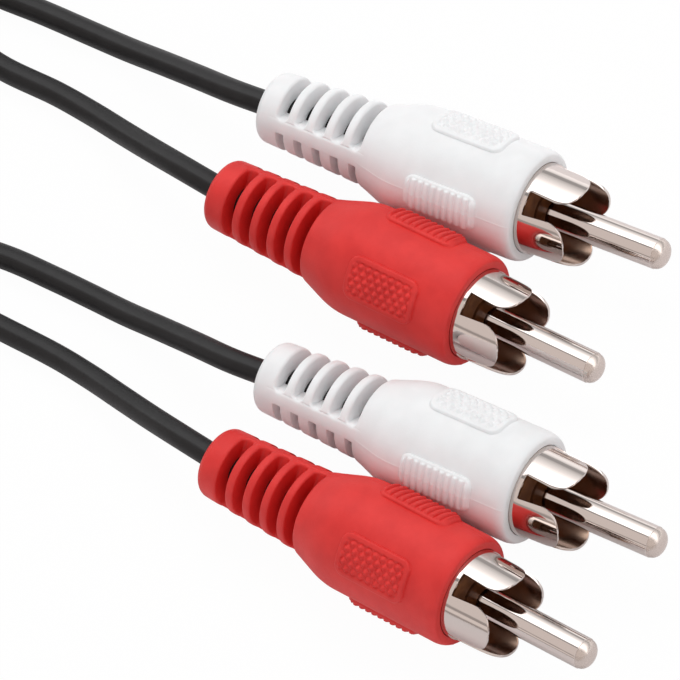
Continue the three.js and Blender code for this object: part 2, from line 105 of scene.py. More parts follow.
TRUNK_START = [(-0.0774, 0.0193, 0.0013), (-0.0812, 0.0206, 0.0016), (-0.0858, 0.0227, 0.0021)]
TRUNK_END = [
    (-0.0859, -0.0166, 0.0102), (-0.0805, -0.0149, 0.0075), (-0.0755, -0.0136, 0.0045),
    (-0.0700, -0.0122, 0.0022), (-0.0644, -0.0108, 0.0013),
]
CORD_STEP = 0.0008

# Coil of the twin cord, in metres and degrees
COIL_CENTRE = (-0.120, 0.003)
COIL_OUTER_TURN = 0.0341
COIL_INNER_TURN = 0.0259
COIL_LAYERS = 4
COIL_LAYER_PITCH = 0.0027
COIL_BASE = 0.0008
COIL_START = 60
COIL_SPIRAL_ANGLE = 555
COIL_CLIMB_ANGLE = 60
COIL_STEP_ANGLE = 5

# Wire tie round the coil
TIE_WIDTH = 0.003
TIE_THICKNESS = 0.0005
TIE_CLEAR = 0.0003
TIE_CORNER_POINTS = 32
TIE_TAIL_LENGTH = 0.00675
TIE_TAIL_RADIUS = 0.0004
TIE_TAIL_TURNS = 3.5
TIE_TAIL_INSET = 0.0006
TIE_TAIL_ROWS = 60
TIE_TAIL_FACETS = 8

# Turn of each plug's body and of its collar about the plug's own axis, in degrees
TURNS = {"red": (46.7, 72.0), "white": (123.0, 64.6)}
ENDS = ("a_red", "a_white", "b_red", "b_white")

# Centre pin
PIN_RADIUS = 1.6
PIN_REACH = 14.8
PIN_NOSE = 1.1
PIN_NOSE_POWER = 2.2
PIN_NOSE_ROWS = 20
PIN_NOSE_STEP = 0.03
PIN_TIP_RADIUS = 0.02
PIN_EDGE = 0.07
PIN_STRAIGHT_ROWS = (-2.0, 3.0, 8.0)
PIN_REAR = -8.3
PIN_COLLAR_RADIUS = 2.3
PIN_COLLAR_LENGTH = 0.7
PIN_COLLAR_CHAMFER = 0.3
PIN_FACETS = 64

# Ground shell
COLLAR_RADIUS = 4.65
COLLAR_TIP_RADIUS = 4.45
COLLAR_WALL = 0.25
COLLAR_REACH = 5.5
COLLAR_RING = 0.6
COLLAR_ROWS = (-4.0, -0.5, 0.1)
COLLAR_SLOTS = 4
COLLAR_SLOT_BASE_WIDTH = 2.45
COLLAR_SLOT_WIDTH = 2.05
COLLAR_EDGE = 0.06
COLLAR_EDGE_ANGLE = 50
PETAL_STRAIGHT = 2.6
PETAL_FULLNESS = 2.3
PETAL_END_ANGLE = 0.985 * math.pi / 2
PETAL_STRAIGHT_ROWS = 8
PETAL_TIP_ROWS = 22
PETAL_COLUMNS = 18
SLOT_COLUMNS = 8
SLEEVE_DEPTH = 8.0
SLEEVE_MOUTH_RADIUS = 3.2
TAB_LENGTH = 5.0
TAB_WIDTH = 2.4

# Insulator
INSULATOR_FRONT = 0.6
INSULATOR_RADIUS = 4.1
INSULATOR_BORE = 1.66
INSULATOR_REAR = -7.3
INSULATOR_EDGE = 0.2
INSULATOR_EDGE_MIDDLE = 0.3 * INSULATOR_EDGE

# Moulded body
BODY_RADIUS = 5.77
BODY_LENGTH = 14.35
FRONT_FACE_RADIUS = 5.3
FRONT_ROUND = 1.1
CONE_LENGTH = 4.35
RELIEF_FRONT_RADIUS = 4.25
RELIEF_REAR_RADIUS = 3.65
RELIEF_LENGTH = 12.3
SHOULDER = -BODY_LENGTH
FOOT = SHOULDER - CONE_LENGTH
REAR = FOOT - RELIEF_LENGTH
REAR_ROUND = 0.9
SHOULDER_BLEND = 1.3
FOOT_BLEND = 0.8
BORE_MOUTH_RADIUS = 1.34
BORE_RADIUS = 1.62
BORE_MOUTH_DEPTH = 0.9
SLEEVE_RADIUS = 4.7
POCKET_RADIUS = 4.2
POCKET_REAR = -14.5
POCKET_GAP = 0.3

# Jacket in the bore. Its step, where it grows to the bore's width, and its rows are ahead of the rear end.
JACKET_FACETS = 32
JACKET_CLEAR = 0.04
JACKET_STEP = (0.95, 1.1)
JACKET_ROWS = (5, 9)
JACKET_FRONT = -17.0

# Slots of the strain relief. Their ends are in degrees from the middle of a knurled pad, one for each
# quarter of the body. A slot that ends early runs up to its end from the wall's foot.
SLOT_COUNT = 5
SLOT_PITCH = 2.2
SLOT_SETBACK = 0.3
SLOT_CENTRE = 0.575
OPEN_SLOT = {"width": 1.27, "edge": 0.3, "end_round": 0.55}
SQUARE_SLOT = {"width": 0.95, "edge": 0.06, "end_round": 0.08}
SLOT_ENDS = (82.7, 82.7, 74.7, 82.7)
EARLY_SLOT_END = 80
SLOT_WALL_FOOT = 67.0
SLOT_WALL_SINK = 0.1
SIDE_BLEND = 1.5

# Grip pads
PAD_LENGTH = 8.2
RIBBED_PAD_WIDTH = 3.7
KNURLED_PAD_WIDTH = 4.5
PAD_SETBACK = 3.8
PAD_CORNER = 1.1
PAD_EDGE = 0.2
RIB_COUNT = 11
RIB_HEIGHT = 0.52
RIB_FLOOR = 0.27
RIB_INSET = 0.2
RIB_CREST_START = 0.08
RIB_CREST_BLEND = 0.6
KNURL_HEIGHT = 0.48
KNURL_RIM = 0.33
KNURL_FLOOR = 0.15
KNURL_BORDER = 0.5
KNURL_SLOPE = 0.14
KNURL_COLUMNS = 8
KNURL_ROWS = 5.5
KNURL_PEAK = 1.25
KNURL_FALL = 3.3
PARTING_HEIGHT = 0.032
PARTING_WIDTH = 0.07

# Rings of the body's mesh, from front to rear. The cone's rings end, and the bore starts, so many millimetres
# ahead of the point from which the slots are set out.
ROUND_ROWS = 8
FRONT_ROWS = 6
PAD_GAP = 0.05
PAD_STEP = 0.093
CONE_ROWS = 15
CONE_ROWS_END = 0.6
BORE_START = 0.9
SLOT_EDGE_SHARES = (1.0, 0.7, 0.45, 0.25, 0.1, 0.0)
SLOT_FLOOR_SHARES = (1.0, 0.6, 0.2)
REAR_ROWS = 5

# Lines of the body's mesh round its axis, in degrees from the middle of a knurled pad, from a pad's edge
# or from a slot's end
KNURL_LINES = 22
KNURL_LINES_END = 4.8
PAD_EDGE_LINES = (-4.1, -3.4, -2.7, -1.9, -1.2, -0.6, -0.2, 0, 0.3)
GAP_LINES = 9
GAP_LINES_REACH = (26, 88.0)
SLOT_END_LINES = (-1.2, -0.4, -0.02, 0.02, 0.5, 1.3, 2.3, 3.4)
SLOT_LINE_STEP = 1.6
SLOT_LINE_CLEAR = 0.2
PARTING_LINES = (88.2, 88.8, 89.2, 89.6, 90)

# Studio. A level is what a white surface would be on the screen, as a share of white. The lights are
# (angle round the X axis in degrees, level), and those past NEAR_SIDE take a tint.
FLOOR_REACH = 3.0
FLOOR_COLOUR = (0.95, 0.915, 0.925, 1)
FLOOR_ROUGHNESS = 0.9
FLOOR_WHITE = 0.97
FLOOR_MIRRORED = 0.15
FLOOR_NEAR_LEVEL = 0.4
FLOOR_FAR_LEVEL = 1.6
FLOOR_FADE = (-0.04, 0.06)
NEAR_SIDE = 100
NEAR_TINT = (1.0, 0.92, 0.88)
WHITE = (1.0, 1.0, 1.0)
SOFT_LIGHT = ((0, 0.6), (95, 0.6), (130, 0.66), (180, 0.7))
STRIP_LIGHTS = (
    (0, 1.45), (8, 1.3), (12, 1.05), (15, 0.5), (23, 0.45), (27, 0.75), (34, 1.0), (45, 1.35),
    (50, 1.6), (56, 1.95), (62, 2.4), (91, 2.4), (93, 0.4), (99, 0.33), (101, 0.86), (157, 0.86),
    (159, 0.45), (164, 0.43), (166, 0.92), (173, 0.94), (175, 0.45), (178, 0.45), (180, 0.62),
)
SEEN_RAYS = ("Is Camera Ray", "Is Transmission Ray")

# Lamps: name, place from the camera's target, size and power
LAMPS = (("key", (-0.2, 0.45, 0.75), 0.5, 3.3), ("fill", (0.6, -0.4, 0.6), 0.6, 0.6))


def linear(*levels):
    """A colour given as 0-255 screen levels, as the linear values that shaders take."""
    shares = [level / 255 for level in levels]
    return tuple(s / 12.92 if s <= 0.04045 else ((s + 0.055) / 1.055) ** 2.4 for s in shares) + (1.0,)


def new_object(name, data):
    made = bpy.data.objects.new(name, data)
    bpy.context.scene.collection.objects.link(made)
    return made


def add_camera():
    azimuth, elevation, roll = (math.radians(a) for a in (CAMERA_AZIMUTH, CAMERA_ELEVATION, CAMERA_ROLL))
    level = Vector((math.cos(azimuth), math.sin(azimuth), 0))
    back = Vector((math.sin(azimuth) * math.cos(elevation), -math.cos(azimuth) * math.cos(elevation),
                   math.sin(elevation)))
    upright = back.cross(level)
    right = math.cos(roll) * level + math.sin(roll) * upright
    up = math.cos(roll) * upright - math.sin(roll) * level
    data = bpy.data.cameras.new("camera")
    data.sensor_width = SENSOR_WIDTH
    data.lens = PIXELS_PER_MM / MM * CAMERA_DISTANCE / FRAME_PIXELS * SENSOR_WIDTH
    data.clip_start, data.clip_end = CAMERA_CLIP
    camera = new_object("camera", data)
    turn = Matrix((right, up, back)).transposed().to_4x4()
    camera.matrix_world = Matrix.Translation(CAMERA_TARGET + CAMERA_DISTANCE * back) @ turn
    bpy.context.scene.camera = camera


def plug_frame(end):
    """The plug's own frame from its centre pin, a turned piece whose points lie evenly about its axis."""
    pin = frame["nodes"][f"end_{end}_centre_pin"]
    points = np.array([vertex.co for vertex in pin.data.vertices])
    middle = points.mean(axis=0)
    axis = np.linalg.svd(points - middle, full_matrices=False)[2][0]
    axis = axis * np.sign(axis[0])
    tip = middle + axis * ((points - middle) @ axis).max()
    along = Vector(axis).normalized()
    across = Vector((0, 0, 1)).cross(along).normalized()
    above = along.cross(across)
    origin = Vector(tip) - along * (PIN_REACH * MM)
    return Matrix.Translation(origin) @ Matrix((along, across, above)).transposed().to_4x4()


PLUG_FRAMES = {end: plug_frame(end) for end in ENDS}


def on_axis(end, x):
    """The point of the plug's axis at x millimetres."""
    return PLUG_FRAMES[end] @ Vector((x * MM, 0, 0))


def new_piece(name, vertices, faces, material, placement=None):
    """A mesh object of one material, in the model's frame once its placement is applied."""
    mesh = bpy.data.meshes.new(name)
    mesh.from_pydata([tuple(v) for v in vertices], [], faces)
    if placement:
        mesh.transform(placement)
    mesh.update()
    mesh.materials.append(material)
    return new_object(name, mesh)


def finish_mesh(piece, weld=WELD, sharp=SHARP_ANGLE):
    """Joins the points that lie on each other, turns the faces outward and sets the sharp edges."""
    work = bmesh.new()
    work.from_mesh(piece.data)
    bmesh.ops.remove_doubles(work, verts=work.verts, dist=weld)
    bmesh.ops.dissolve_degenerate(work, edges=work.edges, dist=weld)
    bmesh.ops.recalc_face_normals(work, faces=work.faces)
    work.to_mesh(piece.data)
    work.free()
    piece.data.shade_smooth()
    piece.data.set_sharp_from_angle(angle=math.radians(sharp))


def tube_faces(rows, count, first=0, joined=False, capped=False):
    """Faces between rows of count points. The last row can be joined to the first, or both ends capped."""
    faces = []
    for row in range(rows if joined else rows - 1):
        here, after = first + row * count, first + (row + 1) % rows * count
        for k in range(count):
            right = (k + 1) % count
            faces.append((here + k, here + right, after + right, after + k))
    if capped:
        last = first + (rows - 1) * count
        faces += [tuple(range(first, first + count)), tuple(range(last, last + count))]
    return faces


def ride(piece, slot, *nodes):
    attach(piece, ROOT)
    if nodes:
        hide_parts(*nodes)


# Materials

TONE_RANGE = (0.35, 0.65)


def add_noise(material, scale, detail, stretch=(1, 1, 1)):
    """Noise in the piece's own frame; scale is in features to a metre."""
    nodes, links = material.node_tree.nodes, material.node_tree.links
    place = nodes.new("ShaderNodeTexCoord")
    stretched = nodes.new("ShaderNodeMapping")
    stretched.inputs["Scale"].default_value = stretch
    noise = nodes.new("ShaderNodeTexNoise")
    noise.inputs["Scale"].default_value = scale
    noise.inputs["Detail"].default_value = detail
    links.new(place.outputs["Object"], stretched.inputs["Vector"])
    links.new(stretched.outputs["Vector"], noise.inputs["Vector"])
    return noise.outputs["Fac"]


def vary_colour(material, shader, source, low, high):
    nodes, links = material.node_tree.nodes, material.node_tree.links
    tones = nodes.new("ShaderNodeValToRGB")
    for stop, place, colour in zip(tones.color_ramp.elements, TONE_RANGE, (low, high)):
        stop.position = place
        stop.color = colour
    links.new(source, tones.inputs["Fac"])
    links.new(tones.outputs["Color"], shader.inputs["Base Color"])


def vary_roughness(material, shader, source, low, high):
    nodes, links = material.node_tree.nodes, material.node_tree.links
    spread = nodes.new("ShaderNodeMapRange")
    spread.inputs["To Min"].default_value = low
    spread.inputs["To Max"].default_value = high
    links.new(source, spread.inputs["Value"])
    links.new(spread.outputs["Result"], shader.inputs["Roughness"])


def add_bump(material, shader, source, depth, strength):
    nodes, links = material.node_tree.nodes, material.node_tree.links
    bump = nodes.new("ShaderNodeBump")
    bump.inputs["Strength"].default_value = strength
    bump.inputs["Distance"].default_value = depth
    links.new(source, bump.inputs["Height"])
    links.new(bump.outputs["Normal"], shader.inputs["Normal"])


def surface(name, colour, roughness, inputs=None, tones=None, haze=None, bump=None):
    """A material of one colour and roughness, and what varies it.

    Tones are a noise with a low and a high colour, haze is one with a low and a high roughness, and bump is
    one with a depth in metres and a strength. A noise is its features to a metre, its detail and its stretch.
    """
    material = bpy.data.materials.new(name)
    material.use_nodes = True
    shader = material.node_tree.nodes["Principled BSDF"]
    for socket, value in {"Base Color": colour, "Roughness": roughness, **(inputs or {})}.items():
        shader.inputs[socket].default_value = value
    for vary, given in ((vary_colour, tones), (vary_roughness, haze), (add_bump, bump)):
        if given:
            noise, *values = given
            vary(material, shader, add_noise(material, *noise), *values)
    return material


PVC_TONES = (420, 2)
PVC_GRAIN = (5200, 3)
JACKET_GRAIN = (3600, 3, (0.4, 1, 1))
METAL = {"Metallic": 1.0}
MATERIALS = {
    "red_pvc": surface(
        "red_pvc", linear(220, 40, 36), 0.5, {"Specular IOR Level": 0.5},
        tones=(PVC_TONES, linear(211, 37, 34), linear(220, 44, 40)),
        haze=(PVC_GRAIN, 0.42, 0.6), bump=(PVC_GRAIN, 0.00003, 0.55)),
    "white_pvc": surface(
        "white_pvc", linear(238, 238, 238), 0.45,
        {"Specular IOR Level": 0.3, "Subsurface Weight": 0.3, "Subsurface Radius": (1.0, 0.85, 0.85),
         "Subsurface Scale": 0.0012},
        tones=(PVC_TONES, linear(240, 240, 241), linear(244, 244, 245)),
        haze=(PVC_GRAIN, 0.36, 0.5), bump=(PVC_GRAIN, 0.00002, 0.4)),
    "nickel": surface(
        "bright_nickel", linear(212, 202, 197), 0.06, METAL,
        haze=((900, 3, (0.25, 1, 1)), 0.035, 0.085), bump=((9000, 2, (0.06, 1, 1)), 0.000004, 0.3)),
    # The pin's turned nose
    "nickel_nose": surface(
        "satin_nickel", linear(206, 194, 187), 0.24, METAL,
        haze=((2600, 3), 0.2, 0.34), bump=((5000, 2), 0.000008, 0.2)),
    # The collar's inside: its darker, browner colour than the outside is painted shade for the collar's
    # hollow, and its roughness is higher
    "nickel_inside": surface(
        "dull_nickel", linear(186, 158, 140), 0.2, METAL,
        haze=((1500, 3), 0.16, 0.26), bump=((7000, 2, (0.2, 1, 1)), 0.000006, 0.3)),
    "bush": surface(
        "brown_bush", linear(74, 40, 18), 0.5, {"Specular IOR Level": 0.15},
        tones=((900, 2), linear(84, 48, 24), linear(104, 62, 32)), bump=((4000, 2), 0.00002, 0.4)),
    "jacket": surface(
        "black_jacket", linear(24, 23, 24), 0.45, {"Specular IOR Level": 0.3},
        tones=((600, 2), linear(22, 21, 22), linear(27, 26, 27)),
        haze=(JACKET_GRAIN, 0.36, 0.5), bump=(JACKET_GRAIN, 0.00002, 0.4)),
    "tie": surface(
        "tie_plastic", linear(26, 26, 26), 0.5,
        tones=((800, 2), linear(23, 23, 23), linear(31, 31, 31)), bump=((3000, 2), 0.00002, 0.5)),
    "mould": surface(
        "core_plastic", linear(226, 220, 204), 0.6,
        tones=((900, 2), linear(220, 214, 198), linear(231, 226, 210))),
    "copper": surface(
        "bare_copper", linear(196, 124, 84), 0.35, METAL,
        tones=((3000, 2), linear(188, 114, 76), linear(204, 134, 94))),
}
MATERIALS["core"] = MATERIALS["mould"]


# Cords


def smooth_route(points, step=CORD_STEP):
    """Points a step apart on the centripetal Catmull-Rom curve through the given points."""
    given = [np.array(p, float) for p in points]
    given = [2 * given[0] - given[1]] + given + [2 * given[-1] - given[-2]]
    route = []
    for p0, p1, p2, p3 in zip(given, given[1:], given[2:], given[3:]):
        d0, d1, d2 = (max(np.linalg.norm(b - a) ** 0.5, 1e-6) for a, b in ((p0, p1), (p1, p2), (p2, p3)))
        start = ((p1 - p0) / d0 - (p2 - p0) / (d0 + d1) + (p2 - p1) / d1) * d1
        end = ((p2 - p1) / d1 - (p3 - p1) / (d1 + d2) + (p3 - p2) / d2) * d1
        count = max(2, round(np.linalg.norm(p2 - p1) / step))
        for share in np.arange(count) / count:
            cubic = 2 * p1 - 2 * p2 + start + end
            square = 3 * p2 - 3 * p1 - 2 * start - end
            route.append(p1 + start * share + square * share ** 2 + cubic * share ** 3)
    route.append(given[-2])
    return np.array(route)


def lead_section():
    """A round section with its low ridge."""
    section = []
    for k in range(LEAD_FACETS):
        angle = 2 * math.pi * k / LEAD_FACETS
        off = abs((angle - RIDGE_ANGLE + math.pi) % (2 * math.pi) - math.pi)
        ridge = RIDGE_HEIGHT * math.exp(-((off / RIDGE_WIDTH) ** 2))
        radius = LEAD_DIAMETER / 2 + ridge - RIDGE_HEIGHT / 2
        section.append((radius * math.cos(angle), radius * math.sin(angle)))
    return section


def twin_section():
    """Two round leads side by side, joined by a web."""
    radius = LEAD_DIAMETER / 2
    section = []
    for side in (1, -1):
        for k in range(TWIN_LOBE_POINTS):
            angle = math.radians(-TWIN_LOBE_REACH + 2 * TWIN_LOBE_REACH * k / (TWIN_LOBE_POINTS - 1)) * side
            turned = angle if side > 0 else angle + math.pi
            section.append((side * radius + radius * math.cos(turned), radius * math.sin(turned)))
        section.append((0, TWIN_WAIST * side))
    return section


def sweep(name, route, section, material):
    """A closed tube of that section along a route. The section's first axis stays level."""
    tangents = np.gradient(route, axis=0)
    tangents /= np.linalg.norm(tangents, axis=1)[:, None]
    sides = np.cross((0, 0, 1), tangents)
    sides /= np.linalg.norm(sides, axis=1)[:, None]
    uppers = np.cross(tangents, sides)
    outline = np.array(section)
    rings = route[:, None] + outline[None, :, :1] * sides[:, None] + outline[None, :, 1:] * uppers[:, None]
    piece = new_piece(name, rings.reshape(-1, 3), tube_faces(len(route), len(section), capped=True), material)
    finish_mesh(piece)
    return piece


def split_end(run, lobe):
    """Where one of the twin cord's two leads is at the end of a run, given as its last points."""
    last, before = Vector(run[0]), Vector(run[1])
    along = (before - last).normalized()
    side = Vector((0, 0, 1)).cross(along).normalized()
    return last + side * (lobe * LEAD_DIAMETER / 2) + along * LEAD_DIAMETER / 4


def add_lead(end):
    rear = REAR
    start = on_axis(end, rear + LEAD_INSET)
    run = TRUNK_START if end.startswith("a") else TRUNK_END[::-1]
    joint = split_end(run, 1 if end.endswith("red") else -1)
    route = smooth_route([tuple(start)] + LEAD_ROUTES[end] + [tuple(joint)])
    piece = sweep(f"cord_lead_{end}", route, lead_section(), MATERIALS["jacket"])
    ride(piece, "jacket", f"lead_{end}")


def coil_route():
    """Layers of the flat cord, wound in and out by turns, with a short climb between them."""
    angle, layer, points = COIL_START, 0, []
    while layer < COIL_LAYERS:
        inward = layer % 2 == 0
        first, last = COIL_OUTER_TURN, COIL_INNER_TURN
        if not inward:
            first, last = last, first
        height = COIL_BASE + LEAD_DIAMETER / 2 + layer * COIL_LAYER_PITCH
        for step in range(COIL_SPIRAL_ANGLE // COIL_STEP_ANGLE + 1):
            share = step * COIL_STEP_ANGLE / COIL_SPIRAL_ANGLE
            points.append((angle + step * COIL_STEP_ANGLE, first + (last - first) * share, height))
        angle += COIL_SPIRAL_ANGLE
        if layer < COIL_LAYERS - 1:
            for step in range(1, COIL_CLIMB_ANGLE // COIL_STEP_ANGLE):
                share = step * COIL_STEP_ANGLE / COIL_CLIMB_ANGLE
                rise = COIL_LAYER_PITCH * share * share * (3 - 2 * share)
                points.append((angle + step * COIL_STEP_ANGLE, last, height + rise))
            angle += COIL_CLIMB_ANGLE
        layer += 1
    centre_x, centre_y = COIL_CENTRE
    place = []
    for degrees, radius, height in points:
        turn = math.radians(degrees)
        place.append((centre_x + radius * math.cos(turn), centre_y + radius * math.sin(turn), height))
    return place


def add_trunk(route, tie):
    piece = sweep("cord_trunk", route, twin_section(), MATERIALS["jacket"])
    ride(piece, "jacket", "trunk_run_a", "trunk_run_b", "trunk_coil")


def tight_outline(points):
    """The points that a band drawn tight round flat points touches, counterclockwise."""
    def chain(ordered):
        kept = []
        for x, z in ordered:
            while len(kept) > 1:
                (xa, za), (xb, zb) = kept[-2:]
                if (xb - xa) * (z - za) - (zb - za) * (x - xa) > 0:
                    break
                kept.pop()
            kept.append((x, z))
        return kept[:-1]

    ordered = sorted(points)
    return chain(ordered) + chain(ordered[::-1])


def tie_loop(route):
    """The middle of the tie's strip, in the plane in which it passes round all turns of the cord."""
    reach = LEAD_DIAMETER / 2 + TIE_CLEAR + TIE_THICKNESS / 2
    points = []
    for (xa, ya, za), (_, yb, _) in zip(route, route[1:]):
        if xa > COIL_CENTRE[0] or (ya - COIL_CENTRE[1]) * (yb - COIL_CENTRE[1]) > 0:
            continue
        for side in (-1, 1):
            for angle in np.linspace(0, 2 * math.pi, TIE_CORNER_POINTS, endpoint=False):
                middle = xa + side * LEAD_DIAMETER / 2
                points.append((middle + reach * math.cos(angle), za + reach * math.sin(angle)))
    return tight_outline(points)


def add_tie(route):
    """A flat strip drawn tight round the coil's section, with its two ends twisted together on top."""
    middle_y = COIL_CENTRE[1]
    loop = tie_loop(route)
    tail_x = (min(x for x, _ in loop) + max(x for x, _ in loop)) / 2
    top = max(z for _, z in loop)
    vertices = []
    strip = ((-TIE_WIDTH / 2, -1), (-TIE_WIDTH / 2, 1), (TIE_WIDTH / 2, 1), (TIE_WIDTH / 2, -1))
    for k, (x, z) in enumerate(loop):
        (xa, za), (xb, zb) = loop[k - 1], loop[(k + 1) % len(loop)]
        out = Vector((zb - za, xa - xb)).normalized() * TIE_THICKNESS / 2
        for y, way in strip:
            vertices.append((x + out.x * way, middle_y + y, z + out.y * way))
    faces = tube_faces(len(loop), len(strip), joined=True)
    for phase in (0, math.pi):
        add_twist(vertices, faces, tail_x, middle_y + TIE_WIDTH / 2 - TIE_TAIL_INSET,
                  top + TIE_THICKNESS / 2 + 2 * TIE_TAIL_RADIUS, phase)
    piece = new_piece("coil_tie_strip", vertices, faces, MATERIALS["tie"])
    finish_mesh(piece)
    ride(piece, "tie", "coil_tie")
    return piece


def add_twist(vertices, faces, x, y, z, phase):
    """One of the tie's two ends, wound about the other along +Y."""
    faces += tube_faces(TIE_TAIL_ROWS, TIE_TAIL_FACETS, first=len(vertices), capped=True)
    for row in range(TIE_TAIL_ROWS):
        share = row / (TIE_TAIL_ROWS - 1)
        turn = phase + 2 * math.pi * TIE_TAIL_TURNS * share
        centre = Vector((x + TIE_TAIL_RADIUS * math.cos(turn), y + TIE_TAIL_LENGTH * share,
                         z - TIE_TAIL_RADIUS + TIE_TAIL_RADIUS * math.sin(turn)))
        for k in range(TIE_TAIL_FACETS):
            angle = 2 * math.pi * k / TIE_TAIL_FACETS
            vertices.append((centre.x + TIE_TAIL_RADIUS * math.cos(angle), centre.y,
                             centre.z + TIE_TAIL_RADIUS * math.sin(angle)))


# Pieces of a plug


def polar(x, radius, angle):
    """A point off the plug's axis, given in millimetres and radians, in metres."""
    return (x * MM, radius * MM * math.cos(angle), radius * MM * math.sin(angle))


def lathe(name, profile, facets, material, placement, hollow=False, nose_material=None):
    """A piece turned from (x, radius) points. A hollow one's profile closes on itself. A pin has a nose."""
    vertices = [polar(x, radius, 2 * math.pi * k / facets) for x, radius in profile for k in range(facets)]
    faces = tube_faces(len(profile), facets, joined=hollow, capped=not hollow)
    piece = new_piece(name, vertices, faces, material, placement)
    if nose_material:
        piece.data.materials.append(nose_material)
        rear_cap = (len(profile) - 1) * facets
        for polygon in piece.data.polygons[(len(profile) - PIN_NOSE_ROWS) * facets:]:
            polygon.material_index = int(polygon.index != rear_cap)
    finish_mesh(piece, sharp=TURNED_SHARP_ANGLE)
    return piece


def pin_profile():
    """The pin's straight part ends in a small edge, and its domed nose rises from there."""
    collar_front = PIN_REAR + PIN_COLLAR_LENGTH
    nose_start = PIN_REACH - PIN_NOSE
    profile = [(PIN_REAR, PIN_COLLAR_RADIUS - PIN_COLLAR_CHAMFER), (collar_front, PIN_COLLAR_RADIUS)]
    straight_rows = (collar_front, *PIN_STRAIGHT_ROWS, nose_start - PIN_EDGE, nose_start)
    profile += [(x, PIN_RADIUS) for x in straight_rows]
    top = PIN_RADIUS - PIN_EDGE
    for step in range(PIN_NOSE_ROWS):
        share = math.sin(math.pi / 2 * step / (PIN_NOSE_ROWS - 1))
        radius = top * max(0.0, 1 - share ** PIN_NOSE_POWER) ** (1 / PIN_NOSE_POWER)
        x = nose_start + PIN_NOSE_STEP + (PIN_NOSE - PIN_NOSE_STEP) * share
        profile.append((x, max(radius, PIN_TIP_RADIUS)))
    return profile


def insulator_profile():
    front, radius, edge, middle = INSULATOR_FRONT, INSULATOR_RADIUS, INSULATOR_EDGE, INSULATOR_EDGE_MIDDLE
    return [
        (INSULATOR_REAR, INSULATOR_BORE), (INSULATOR_REAR, radius), (front - edge, radius),
        (front - middle, radius - middle), (front, radius - edge), (front, INSULATOR_BORE + edge),
        (front - edge, INSULATOR_BORE),
    ]


def lead_end_profile():
    radius = BORE_RADIUS - JACKET_CLEAR
    start, end = JACKET_STEP
    profile = [(REAR + start, LEAD_DIAMETER / 2 / MM)]
    profile += [(REAR + x, radius) for x in (end, *JACKET_ROWS)]
    return profile + [(JACKET_FRONT, radius)]


def collar_radius(x):
    share = max(0.0, (x - COLLAR_RING) / (COLLAR_REACH - COLLAR_RING))
    return COLLAR_RADIUS + (COLLAR_TIP_RADIUS - COLLAR_RADIUS) * share


def slot_width(x):
    share = min(1.0, max(0.0, (x - COLLAR_RING) / PETAL_STRAIGHT))
    return COLLAR_SLOT_BASE_WIDTH + (COLLAR_SLOT_WIDTH - COLLAR_SLOT_BASE_WIDTH) * share


def petal_rows():
    """(x, half angle) down a petal: straight sides, then a full rounded end."""
    straight_end = COLLAR_RING + PETAL_STRAIGHT
    rows = [(COLLAR_RING + PETAL_STRAIGHT * k / PETAL_STRAIGHT_ROWS, 1.0) for k in range(PETAL_STRAIGHT_ROWS)]
    for step in range(PETAL_TIP_ROWS + 1):
        share = math.sin(PETAL_END_ANGLE * step / PETAL_TIP_ROWS)
        narrowing = (1 - share ** PETAL_FULLNESS) ** (1 / PETAL_FULLNESS)
        reach = (COLLAR_REACH - straight_end) * share / math.sin(PETAL_END_ANGLE)
        rows.append((straight_end + reach, narrowing))
    placed = []
    for x, narrowing in rows:
        half = math.pi / COLLAR_SLOTS - math.asin(slot_width(x) / 2 / collar_radius(x))
        placed.append((x, half * narrowing))
    return placed


def add_collar(name, placement, material, inside_material):
    """The ground shell: its sleeve, ring and four petals as one surface, thickened inward."""
    quarter = 2 * math.pi / COLLAR_SLOTS
    places = petal_rows()
    half = places[0][1]
    gap = quarter - 2 * half
    middles = [quarter * (petal + 0.5) for petal in range(COLLAR_SLOTS)]
    angles = []
    for middle in middles:
        angles += [middle + half * (2 * k / PETAL_COLUMNS - 1) for k in range(PETAL_COLUMNS + 1)]
        angles += [middle + half + gap * k / SLOT_COLUMNS for k in range(1, SLOT_COLUMNS)]
    rows = [(-SLEEVE_DEPTH, SLEEVE_MOUTH_RADIUS)]
    rows += [(x, COLLAR_RADIUS) for x in (-SLEEVE_DEPTH, *COLLAR_ROWS, COLLAR_RING)]
    vertices = [polar(x, radius, angle) for x, radius in rows for angle in angles]
    faces = tube_faces(len(rows), len(angles))
    width = PETAL_COLUMNS + 1
    for middle in middles:
        first = len(vertices)
        for x, spread in places:
            for k in range(width):
                vertices.append(polar(x, collar_radius(x), middle + spread * (2 * k / PETAL_COLUMNS - 1)))
        for row in range(len(places) - 1):
            for k in range(PETAL_COLUMNS):
                a = first + row * width + k
                faces.append((a, a + 1, a + 1 + width, a + width))
    first = len(vertices)
    for x in (-SLEEVE_DEPTH - TAB_LENGTH, -SLEEVE_DEPTH):
        for z in (-TAB_WIDTH / 2, TAB_WIDTH / 2):
            vertices.append((x * MM, (SLEEVE_MOUTH_RADIUS + COLLAR_WALL) * MM, z * MM))
    faces.append((first, first + 1, first + 3, first + 2))
    piece = new_piece(name, vertices, faces, material, placement)
    piece.data.materials.append(inside_material)
    finish_mesh(piece, weld=COLLAR_WELD)
    wall = piece.modifiers.new("wall", "SOLIDIFY")
    # The inner side takes the inside material, whose darker colour is painted shade
    wall.material_offset = 1
    wall.thickness = COLLAR_WALL * MM
    wall.offset = -1
    wall.use_even_offset = True
    edge = piece.modifiers.new("edge", "BEVEL")
    edge.width = COLLAR_EDGE * MM
    edge.segments = 2
    edge.limit_method = "ANGLE"
    edge.angle_limit = math.radians(COLLAR_EDGE_ANGLE)
    return piece


def rounded_ramp(x, corner, blend):
    """0 before a corner and x - corner after it, rounded over the blend on both sides."""
    past = x - corner
    middle = (past + blend) ** 2 / (4 * blend)
    return np.where(past <= -blend, 0.0, np.where(past >= blend, past, middle))


